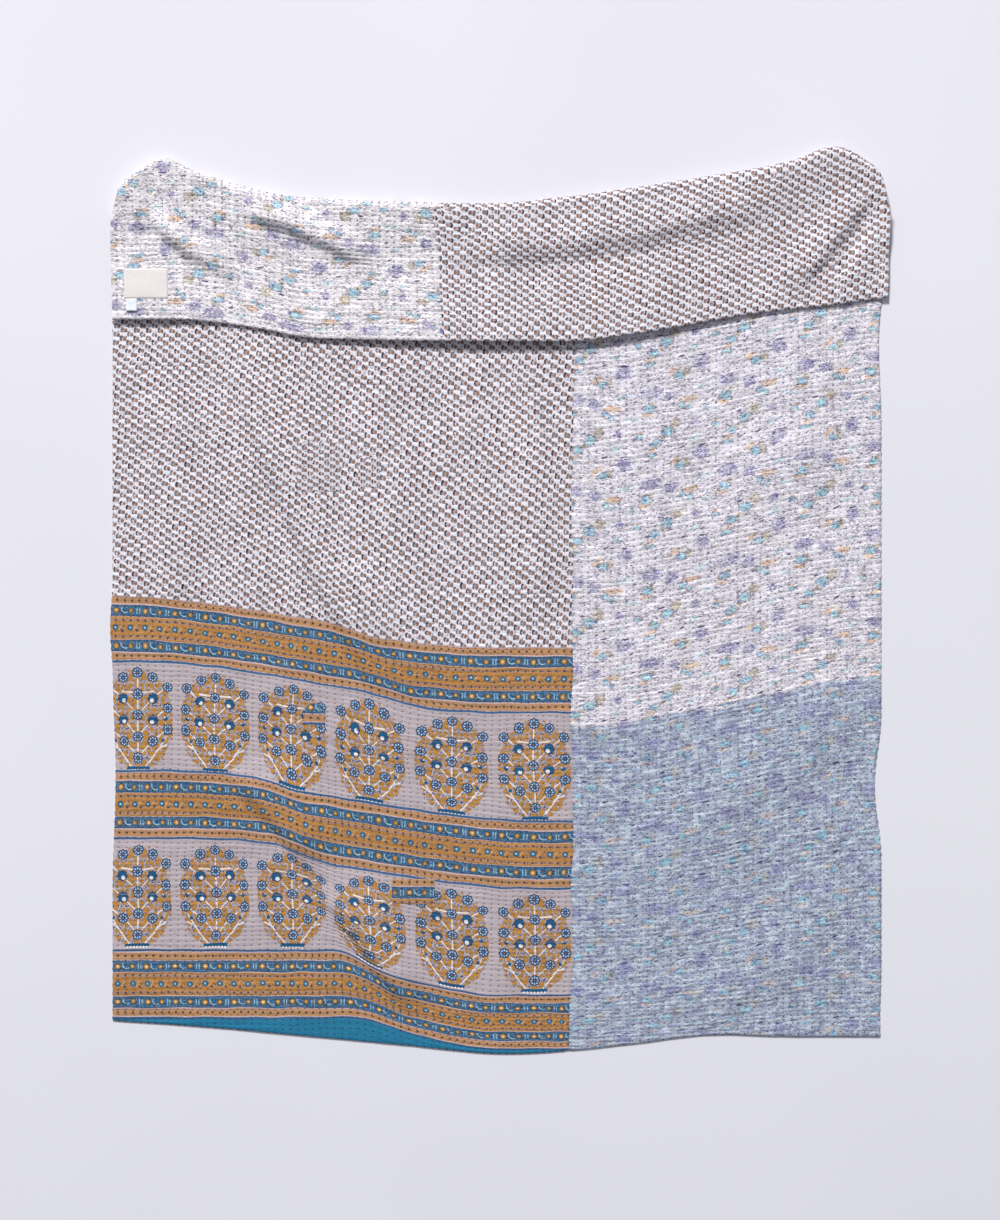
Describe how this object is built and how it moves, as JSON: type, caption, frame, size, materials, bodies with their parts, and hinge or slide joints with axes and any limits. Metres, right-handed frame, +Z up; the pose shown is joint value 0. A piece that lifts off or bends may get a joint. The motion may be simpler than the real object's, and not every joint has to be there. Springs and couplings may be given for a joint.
{
  "type": "kantha quilt",
  "caption": "Rectangular patchwork throw of layered cotton held by rows of running stitch, laid face up with its top end folded over.",
  "frame": {"origin": "centre of the quilt's outline, on the surface that it lies on", "axes": "+X across the quilt to the right, +Y along it towards the fold, +Z up from the surface"},
  "size_m": [1.2842, 1.4947, 0.029],
  "materials": {
    "quilt_cotton": "printed cotton, puckered by rows of running stitch",
    "label_cotton": "unbleached cotton tape",
    "care_tag_satin": "white satin tape"
  },
  "bodies": {
    "root": {"quilt": "quilt_cotton", "label": "label_cotton", "care_tag": "care_tag_satin"}
  },
  "joints": []
}
